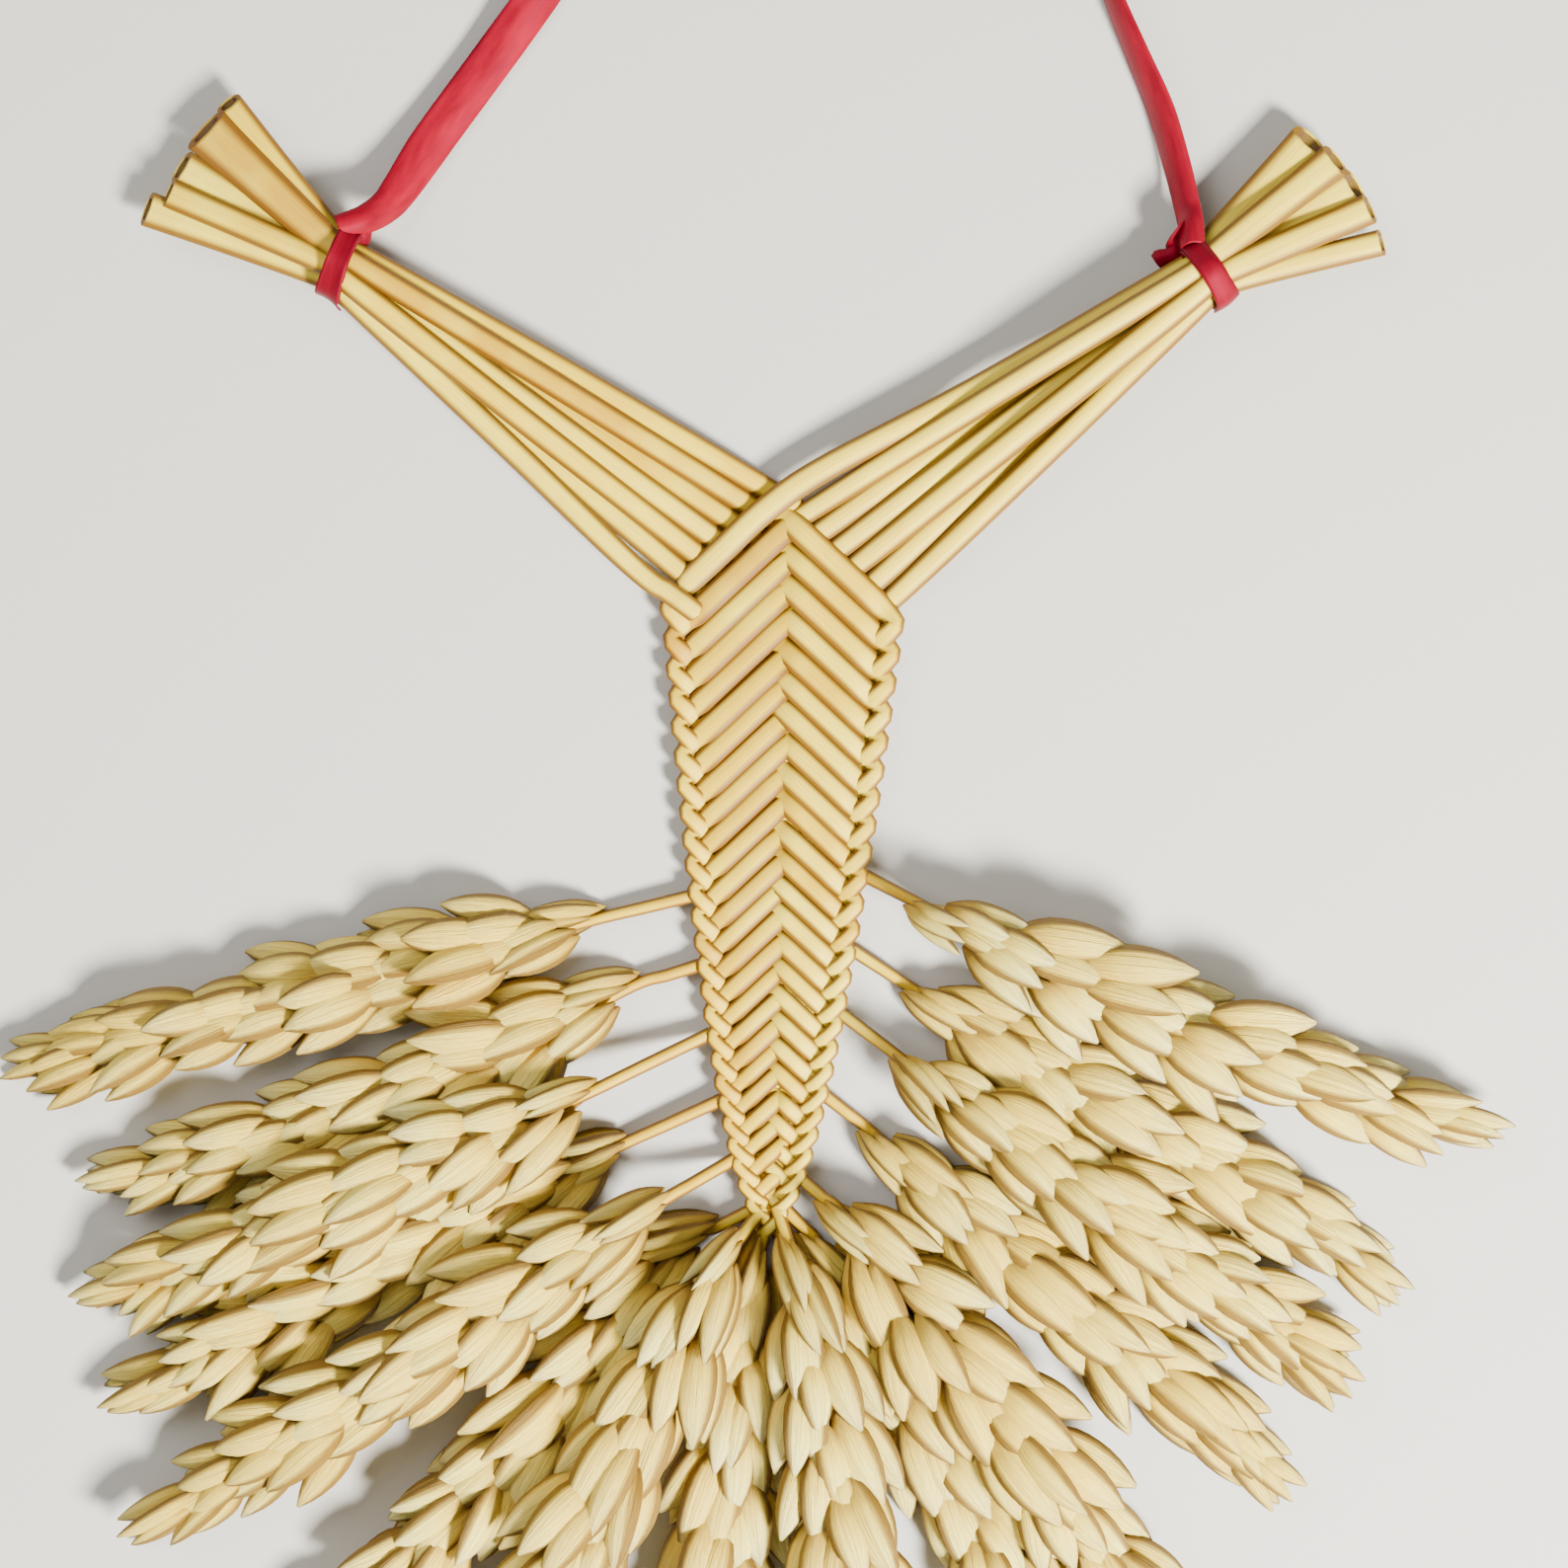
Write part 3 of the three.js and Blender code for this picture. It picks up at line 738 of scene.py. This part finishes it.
def make_arm_straw(side, index):
    arm = arm_shapes[side]
    dice = random.Random(f"{side} {index}")
    along, outward, tie = arm_frame(arm)
    half = plait_half_width(shoulder_y)
    share = (index + 0.5) / straws_per_arm
    start = Vector((plait_middle(shoulder_y) + arm["hand"] * half * share,
                    shoulder_y + half * (1 - share) * leg_slope, layer_low + 0.0006))
    across_tie, above_tie = bundle_places()[index]
    in_tie = tie + outward * across_tie
    in_tie.z += above_tie
    end_across, end_along, end_width, tint = cut_ends[side][index]
    end = tie + along * end_along + outward * end_across
    end.z = tie.z * 0.85 + above_tie * (0.3 if above_tie > 0 else 0.5)
    waist_before = in_tie - along * 0.0035
    waist_after = in_tie + along * 0.0035
    halfway = start.lerp(waist_before, 0.5)
    halfway.z = start.z + (waist_before.z - start.z) * math.sin(0.25 * math.pi)
    halfway += outward * dice.uniform(-0.0003, 0.0003)
    lead = arm_straw_lead(side, index, start, along)
    route = [tuple(point) for point in lead + [halfway, waist_before, waist_after, end]]
    line = [Vector(point) for point in smooth_line(route, arm_steps)]
    swell = dice.uniform(0.99, 1.10)
    open_width = end_width / straw_diameter
    open_thickness = 0.9 / max(open_width, 1.0) ** 0.8
    pressed_width = 0.0019 if (side, index) == ("right", 0) else 0.00155
    pressed_share = (len(lead) - 1) / (len(route) - 1) + 0.04
    points = []
    for place, (centre, direction) in enumerate(zip(line, directions_along(line))):
        share = place / (len(line) - 1)
        level = Vector((-direction.y, direction.x, 0))
        squeeze = math.exp(-((centre - in_tie).length / 0.006) ** 2)
        opening = min(max((share - 0.72) / 0.28, 0.0), 1.0)
        width_share = swell * (1.10 - 0.14 * squeeze) * (1 - opening) + open_width * opening
        thick_share = swell * (0.82 + 0.06 * squeeze) * (1 + (open_thickness - 1) * opening)
        half_width = straw_diameter / 2 * width_share
        half_thick = straw_diameter / 2 * thick_share
        pressed = 1 - smooth_step(pressed_share - 0.10, pressed_share + 0.06, share)
        half_thick += (pressed_half - half_thick) * pressed
        half_width += (pressed_width - half_width) * pressed
        from_start = min(share / 0.045, 1.0)
        half_width *= math.sqrt(1.02 - (1 - from_start) ** 2)
        slant = cut_slant * dice.uniform(0.6, 1.3) if place == len(line) - 1 else 0.0
        points.append(strand_point(centre, direction, level, half_width, half_thick, tint, slant))
    piece = lines_piece(f"straw_{side}_{index + 1}_stem", [points])
    grow(piece, straw_tree, {"Sides": 18, "Bore Depth": 0.006, "Finish": golden_straw})
    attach(piece, "root")
    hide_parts(f"straw_{side}_{index + 1}")


for side in arm_shapes:
    for index in range(straws_per_arm):
        make_arm_straw(side, index)


# Ribbon ties
# The ribbon goes once round each arm, gathered narrow on top and opening at the lower side, and is knotted
# at the upper side, where its end folds over itself and leaves as the hanging loop.
tie_steps = 96
tie_clearance = 0.0001
knot_half_length = 0.0021
knot_half_height = 0.0018
knot_width = 0.0034


def make_tie(side):
    arm = arm_shapes[side]
    along, outward, tie = arm_frame(arm)
    up = Vector((0, 0, 1))
    radius = bundle_pitch + straw_diameter / 2 * 1.02 + tie_clearance

    slant_middle, slant = arm["crossing"]

    def round_bundle(first, last, lift, widths):
        """A strip round the bundle between two angles, where 0 is the arm's lower side and 90 is up."""
        centres = []
        wides = []
        for step in range(tie_steps + (0 if last - first == 360 else 1)):
            share = step / tie_steps
            angle = math.radians(first + (last - first) * share)
            reach = (radius + lift) * (1 - 0.03 * math.cos(6 * angle))
            lean = slant_middle - slant * math.cos(angle)
            round_tie = outward * math.cos(angle) + up * math.sin(angle)
            centres.append(tie + round_tie * reach + along * lean)
            wides.append(widths[0] + (widths[1] - widths[0]) * share ** 1.6)
        return centres, wides

    band, band_widths = round_bundle(0, 360, 0.0, (0.0034, 0.0034))
    strips = [ribbon_strip(band, [along] * len(band), band_widths, [0.0005] * len(band), closed=True)]
    over, over_widths = round_bundle(160, -14, 0.0005, (0.0028, 0.0042))
    strips.append(ribbon_strip(over, [along] * len(over), over_widths, [0.0003] * len(over)))
    knot = tie - outward * (radius + 0.0008) + along * (slant_middle + slant) - up * 0.0004
    turn = []
    for step in range(tie_steps // 2):
        angle = 4 * math.pi * step / tie_steps
        skew = 0.0008 * math.sin(angle + 0.7)
        turn.append(knot + along * math.cos(angle) * knot_half_length
                    + up * math.sin(angle) * knot_half_height - outward * skew)
    strips.append(ribbon_strip(turn, [-outward] * len(turn), [knot_width] * len(turn), [0.0008] * len(turn),
                               closed=True))
    if side == "right":
        tail = [knot - along * (0.0016 + 0.0034 * share) + up * (0.0008 - 0.0010 * share)
                + outward * 0.0004 * math.sin(6 * share) for share in (0.0, 0.2, 0.4, 0.6, 0.8, 1.0)]
        strips.append(ribbon_strip(tail, [outward] * len(tail), [0.0026] * len(tail), [0.0006] * len(tail)))
    piece = ribbon_piece(f"ribbon_tie_{side}_satin", strips)
    # Painted shade: the ties carry this tint so that their ribbon is coloured darker than the loop.
    store_numbers(piece.data, "tint", [0.6] * len(piece.data.vertices))
    piece.data.materials.append(red_satin)
    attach(piece, "root")
    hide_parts(f"ribbon_tie_{side}")


for side in arm_shapes:
    make_tie(side)


# Ears
# Each straw ends in an ear of wheat without awns: a thin neck, then two alternating rows of spikelets along
# a gently bowed line, every spikelet a few pointed, papery husks that overlap the next one up.
ear_length = 0.088
ear_half_height = 0.0042
neck_radius = 0.0010
riding_height = 0.0056
spikelet_count = 17
spikelet_kind_count = 6
neck_gap = 0.0016
neck_tint = 0.75
ear_steps = 48
ear_girth = 1.18
golden_ears = {
    "ear_left_1": 0.32, "ear_left_5": 0.10, "ear_right_5": 0.15, "ear_right_4": 0.30, "ear_right_3": 0.25,
}
low_husked_ears = ("ear_right_5",)
table_press = 0.0005
husk_rings = 9
husk_sides = 8
husk_widest = 0.42
husks = [
    # along, out and up from the foot of the spikelet; yaw out, pitch up, roll; length, width, depth
    (0.0000, 0.0023, 0.0000, 19, 0, 0, 0.0126, 0.0048, 0.0034),
    (0.0004, 0.0017, 0.0016, 14, 4, 20, 0.0132, 0.0053, 0.0032),
    (0.0020, -0.0002, 0.0021, 5, 5, -14, 0.0122, 0.0047, 0.0026),
    (0.0004, 0.0017, -0.0016, 14, -4, -20, 0.0132, 0.0053, 0.0032),
    (0.0020, -0.0002, -0.0021, 5, -5, 14, 0.0122, 0.0047, 0.0026),
]
ears = [
    ("ear_left_1", -1, 0.0108, (-164, 0.0125), -165, 0.98, 0.0, False),
    ("ear_left_2", -1, 0.0010, (-158, 0.0080), -160, 0.92, 0.0033, False),
    ("ear_left_3", -1, -0.0088, (-152, 0.0180), -156.5, 0.86, 0.0, True),
    ("ear_left_4", -1, -0.0182, (-152, 0.0150), -153, 0.88, 0.0, False),
    ("ear_left_5", -1, -0.0266, (-146, 0.0105), -147, 0.99, 0.0, True),
    ("ear_foot_1", 0, -0.0022, (-164, 0.0105), -132, 0.98, 0.0015, False),
    ("ear_foot_2", 0, -0.0010, (-142, 0.0075), -116, 0.95, 0.0, True),
    ("ear_foot_3", 0, 0.0000, (-106, 0.0060), -97, 0.94, 0.0, False),
    ("ear_foot_4", 0, 0.0010, (-63, 0.0060), -80, 0.95, 0.0, True),
    ("ear_foot_5", 0, 0.0022, (-32, 0.0060), -59.5, 0.97, 0.0, False),
    ("ear_right_5", 1, -0.0294, (-50, 0.0060), -52, 0.97, 0.0, True),
    ("ear_right_4", 1, -0.0175, (-50, 0.0065), -40.5, 0.88, 0.0, False),
    ("ear_right_3", 1, -0.0059, (-44, 0.0095), -36.5, 0.87, 0.0, True),
    ("ear_right_2", 1, 0.0031, (-41, 0.0085), -31, 0.91, 0.0, False),
    ("ear_right_1", 1, 0.0137, (-36, 0.0065), -21.5, 0.99, -0.0029, True),
]


def make_spikelet(number):
    """A fan of husks that points up the ear, drawn once and repeated by the ear's tree."""
    dice = random.Random(100 + number)
    corners = []
    faces = []
    fibre = []
    tips = []
    for forward, out, up, yaw, pitch, roll, length, width, depth in husks:
        length *= dice.uniform(0.88, 1.10)
        width *= dice.uniform(0.90, 1.10)
        yaw = math.radians(yaw + dice.uniform(-8, 8))
        pitch = math.radians(pitch + dice.uniform(-5, 5))
        roll = math.radians(roll + dice.uniform(-14, 14))
        ahead = Vector((math.sin(yaw) * math.cos(pitch), math.cos(yaw) * math.cos(pitch), math.sin(pitch)))
        across = Vector((math.cos(yaw), -math.sin(yaw), 0))
        above = across.cross(ahead)
        across, above = (across * math.cos(roll) + above * math.sin(roll),
                         above * math.cos(roll) - across * math.sin(roll))
        foot = Vector((out, forward, up))
        offset = len(corners)
        shade = dice.uniform(-1, 1)
        for ring in range(husk_rings + 1):
            share = ring / husk_rings
            if share < husk_widest:
                fullness = 0.16 + 0.84 * math.sin(math.pi / 2 * share / husk_widest)
            else:
                fullness = 1 - 0.90 * ((share - husk_widest) / (1 - husk_widest)) ** 2.4
            curl = 0.0006 * math.sin(math.pi * share) - 0.0004 * share ** 3
            middle = foot + ahead * length * share + above * curl * (1 if up >= 0 else -1)
            for side in range(husk_sides):
                angle = 2 * math.pi * side / husk_sides
                keel = 1.18 if side == 2 else 1.0
                corner = (middle + across * math.cos(angle) * width / 2 * fullness
                          + above * math.sin(angle) * depth / 2 * fullness * keel)
                corners.append(corner)
                fibre.append(Vector((math.cos(angle), math.sin(angle) + 5 * shade, length * share)))
                tips.append(share)
        for face in ring_faces(husk_rings + 1, husk_sides):
            faces.append(tuple(offset + corner for corner in face))
    piece = mesh_piece(f"spikelet_{number}", corners, faces)
    store_numbers(piece.data, "fibre", fibre)
    store_numbers(piece.data, "tip", tips)
    return piece


def make_husk_material():
    """Papery husk: pale cream beige, golden at its foot, with fine ribs to a pale point."""
    material, tree, shader = new_material("wheat_husk")
    grain = add_node(tree, "ShaderNodeGroup", {
        "Place": own_value(tree, "fibre", "Vector"), "Fineness": 8.5, "Stretch": 75.0,
        "Side From": 0.62, "Side To": 0.84}, node_tree=fibre_grain)
    streak = grain.outputs["Streak"]
    body = colour_at(tree, own_value(tree, "tip"),
                     (0.0, (0.44, 0.21, 0.025, 1)), (0.35, (0.86, 0.66, 0.10, 1)),
                     (0.7, (0.93, 0.84, 0.24, 1)), (1.0, (0.95, 0.89, 0.42, 1)))
    varied = mixed_colour(tree, own_value(tree, "tint"), body, (0.82, 0.58, 0.065, 1))
    ribbed = mixed_colour(tree, fitted(tree, streak, 0.0, 0.60, 0.44, 0.66), varied, (0.58, 0.34, 0.04, 1))
    shaded = add_math(tree, "MULTIPLY", grain.outputs["Side"], 0.92)
    coloured = mixed_colour(tree, shaded, ribbed, (0.21, 0.105, 0.006, 1))
    relief = add_node(tree, "ShaderNodeBump", {"Height": streak, "Strength": 0.9, "Distance": 0.0007})
    set_surface(tree, shader, coloured, fitted(tree, grain.outputs["Patch"], 0.50, 0.75), relief, {
        "Specular IOR Level": 0.34, "Subsurface Weight": 0.05, "Subsurface Radius": stem_glow,
        "Subsurface Scale": 0.0010})
    return material


def make_ear_tree(spikelet_kinds):
    """Sweeps the neck and spine, seats the spikelets in two rows and lets the husks rest on the table."""
    tree, entry, leave = new_geometry_tree("wheat_ear", [
        ("Neck Share", "Float", 0.1), ("Spikelets", "Int", spikelet_count), ("Roll", "Float", 0.0),
        ("Size", "Float", 1.0), ("Seed", "Int", 1), ("Gold", "Float", 0.0), ("Husk", "Material", None),
        ("Stem", "Material", None),
    ])
    seed = entry.outputs["Seed"]

    def chance(data_type, low_socket, low, high):
        """A random value of its own for every spikelet."""
        node = add_node(tree, "FunctionNodeRandomValue", {
            low_socket: low, low_socket + 1: high, "Seed": seed}, data_type=data_type)
        return node.outputs[low_socket // 2]

    stem = add_node(tree, "GeometryNodeGroup", {
        "Geometry": entry.outputs["Geometry"], "Finish": entry.outputs["Stem"], "Sides": 8,
        "Bore Depth": 0.0}, node_tree=straw_tree)
    line = add_node(tree, "GeometryNodeMeshToCurve", {"Mesh": entry.outputs["Geometry"]})
    ear_line = add_node(tree, "GeometryNodeTrimCurve", {
        "Curve": line.outputs[0], "Start": entry.outputs["Neck Share"], "End": 0.88})
    seats = add_node(tree, "GeometryNodeCurveToPoints", {
        "Curve": ear_line.outputs[0], "Count": entry.outputs["Spikelets"]})
    facing = add_node(tree, "FunctionNodeAxesToRotation", {
        "Primary Axis": seats.outputs["Tangent"], "Secondary Axis": (0.0, 0.0, 1.0)},
        primary_axis="Y", secondary_axis="Z")
    number = add_node(tree, "GeometryNodeInputIndex").outputs[0]
    odd = add_math(tree, "FLOORED_MODULO", number, 2.0)
    half_turn = add_math(tree, "MULTIPLY", odd, math.pi)
    roll = add_math(tree, "ADD", half_turn, entry.outputs["Roll"])
    jitter = chance("FLOAT_VECTOR", 0, (-0.14, -0.26, -0.14), (0.14, 0.26, 0.14))
    turned = add_vector_math(tree, "ADD", combined(tree, 0.0, roll, 0.0), jitter)
    to_rotation = add_node(tree, "FunctionNodeEulerToRotation", {0: turned})
    seated = add_node(tree, "FunctionNodeRotateRotation", {
        "Rotation": facing.outputs[0], "Rotate By": to_rotation.outputs[0]}, rotation_space="LOCAL")
    last = add_math(tree, "SUBTRACT", entry.outputs["Spikelets"], 1.0)
    share = add_math(tree, "DIVIDE", number, last)
    swing = add_math(tree, "SINE", add_math(tree, "MULTIPLY_ADD", share, 0.42 * math.pi, 0.30 * math.pi))
    full = add_math(tree, "POWER", swing, 0.7)
    uneven = add_math(tree, "MULTIPLY", full, chance("FLOAT", 2, 0.92, 1.08))
    sized = add_math(tree, "MULTIPLY", uneven, entry.outputs["Size"])
    closing = add_math(tree, "MULTIPLY_ADD", add_math(tree, "POWER", share, 4.0), -0.35, 1.0)
    opening = fitted(tree, share, 0.55, 1.0, 0.0, 0.13)
    narrow = add_math(tree, "MULTIPLY", add_math(tree, "MULTIPLY", sized, closing), opening)
    kinds = add_node(tree, "GeometryNodeGeometryToInstance")
    for kind in spikelet_kinds:
        shown = add_node(tree, "GeometryNodeObjectInfo", {"Object": kind})
        tree.links.new(shown.outputs["Geometry"], kinds.inputs[0])
    placed = add_node(tree, "GeometryNodeInstanceOnPoints", {
        "Points": seats.outputs["Points"], "Instance": kinds.outputs[0], "Pick Instance": True,
        "Instance Index": chance("INT", 4, 0, len(spikelet_kinds) - 1),
        "Rotation": seated.outputs[0], "Scale": combined(tree, narrow, sized, sized)})
    golden = add_math(tree, "ADD", chance("FLOAT", 2, 0.0, 0.55), entry.outputs["Gold"])
    tinted = stored_field(tree, placed.outputs[0], "tint", golden, "FLOAT", "INSTANCE")
    whole = add_node(tree, "GeometryNodeRealizeInstances", {"Geometry": tinted})
    place = add_node(tree, "GeometryNodeInputPosition")
    now = add_node(tree, "ShaderNodeSeparateXYZ", {0: place.outputs[0]}).outputs
    depth = add_math(tree, "MINIMUM", add_math(tree, "DIVIDE", now[2], table_press), 1.0)
    curve = add_math(tree, "EXPONENT", add_math(tree, "SUBTRACT", depth, 1.0))
    resting = add_math(tree, "MAXIMUM", now[2], add_math(tree, "MULTIPLY", curve, table_press))
    settled = add_node(tree, "GeometryNodeSetPosition", {
        "Geometry": whole.outputs[0], "Position": combined(tree, now[0], now[1], resting)})
    papery = add_node(tree, "GeometryNodeSetMaterial", {
        "Geometry": settled.outputs[0], "Material": entry.outputs["Husk"]})
    joined = add_node(tree, "GeometryNodeJoinGeometry")
    tree.links.new(papery.outputs[0], joined.inputs[0])
    tree.links.new(stem.outputs[0], joined.inputs[0])
    tree.links.new(joined.outputs[0], leave.inputs[0])
    return tree


def flat_vector(angle, length):
    turned = math.radians(angle)
    return Vector((length * math.cos(turned), length * math.sin(turned), 0))


def ear_fullness(share):
    return math.sin(math.pi * (0.05 + 0.93 * share)) ** 0.6


def neck_start(edge, leaves, rides):
    if edge == 0:
        layer = 0.0003 if rides else -0.0007
        return Vector((foot_x + leaves, foot_y + 0.0010, plait_thickness / 2 + layer))
    reach = plait_half_width(leaves) - 0.0006
    return Vector((plait_middle(leaves) + edge * reach, leaves, plait_thickness / 2))


def make_ears():
    wheat_husk = make_husk_material()
    kinds = [make_spikelet(number) for number in range(spikelet_kind_count)]
    ear_tree = make_ear_tree(kinds)
    for order, (name, edge, leaves, neck, angle, size, bow, rides) in enumerate(ears):
        dice = random.Random(500 + order)
        start = neck_start(edge, leaves, rides)
        outside = plait_half_width(leaves) + neck_gap if edge else 0.0
        neck_from = (Vector((plait_middle(leaves) + edge * outside, leaves, 0)) if edge
                     else Vector((foot_x + leaves, foot_y - 0.0011, 0)))
        base = neck_from + flat_vector(*neck)
        run = flat_vector(angle, size * ear_length)
        hang = Vector((-run.y, run.x, 0)).normalized()
        lift = riding_height if rides else 0.0

        def on_ear(share):
            centre = base + run * share + hang * 4 * bow * share * (1 - share)
            centre.z = lift * (1 - 0.8 * smooth_step(0.45, 1, share))
            centre.z += ear_half_height * ear_fullness(share)
            return centre

        first = on_ear(0)
        route = [tuple(start), tuple(start.lerp(first, 0.5)), tuple(first)]
        route += [tuple(on_ear(share / 6)) for share in range(1, 7)]
        line = [Vector(point) for point in smooth_line(route, ear_steps)]
        lengths = [0.0]
        for a, b in zip(line, line[1:]):
            lengths.append(lengths[-1] + (b - a).length)
        neck_length = lengths[ear_steps * 2 // 8]
        points = []
        for place, (centre, direction) in enumerate(zip(line, directions_along(line))):
            level = Vector((-direction.y, direction.x, 0))
            radius = neck_radius * (1.0 - 0.4 * place / ear_steps)
            points.append(strand_point(centre, direction, level, radius, radius, neck_tint))
        bare_neck = 0.45 if edge == 0 or name in low_husked_ears else 0.85
        piece = lines_piece(f"{name}_wheat", [points])
        grow(piece, ear_tree, {
            "Neck Share": bare_neck * neck_length / lengths[-1], "Spikelets": spikelet_count,
            "Roll": dice.uniform(-0.35, 0.35), "Size": ear_girth, "Seed": 40 + order,
            "Gold": golden_ears.get(name, 0.0), "Husk": wheat_husk, "Stem": golden_straw})
        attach(piece, "root")
        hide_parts(name)
    for kind in kinds:
        bpy.data.objects.remove(kind)


make_ears()


# Table and light
# A plain pale table under the ornament, and soft studio light whose main lamp stands to the lower right, as
# in the photograph, so that the shadows fall to the upper left.
table_half = 1.2
table_drop = 0.0002
table_material, table_tree, table_shader = new_material("pale_table")
table_shader.inputs["Base Color"].default_value = (0.56, 0.555, 0.54, 1)
table_shader.inputs["Roughness"].default_value = 0.85
table = mesh_piece("pale_table", [
    (-table_half, -table_half, -table_drop), (table_half, -table_half, -table_drop),
    (table_half, table_half, -table_drop), (-table_half, table_half, -table_drop)], [(0, 1, 2, 3)])
table.data.materials.append(table_material)


def add_lamp(name, place, size, watts, colour):
    data = bpy.data.lights.new(name, "AREA")
    data.shape = "SQUARE"
    data.size = size
    data.energy = watts
    data.color = colour
    lamp = bpy.data.objects.new(name, data)
    bpy.context.collection.objects.link(lamp)
    lamp.location = place
    lamp.rotation_euler = (-Vector(place)).to_track_quat("-Z", "Y").to_euler()


add_lamp("main_lamp", (0.46, -0.44, 0.60), 0.20, 40.0, (1.0, 0.96, 0.86))
add_lamp("fill_lamp", (-0.60, 0.45, 0.80), 0.80, 9.0, (1.0, 0.97, 0.92))

world = bpy.data.worlds.new("studio")
bpy.context.scene.world = world
world.use_nodes = True
world.node_tree.nodes["Background"].inputs[0].default_value = (0.98, 0.97, 0.92, 1)
world.node_tree.nodes["Background"].inputs[1].default_value = 0.36
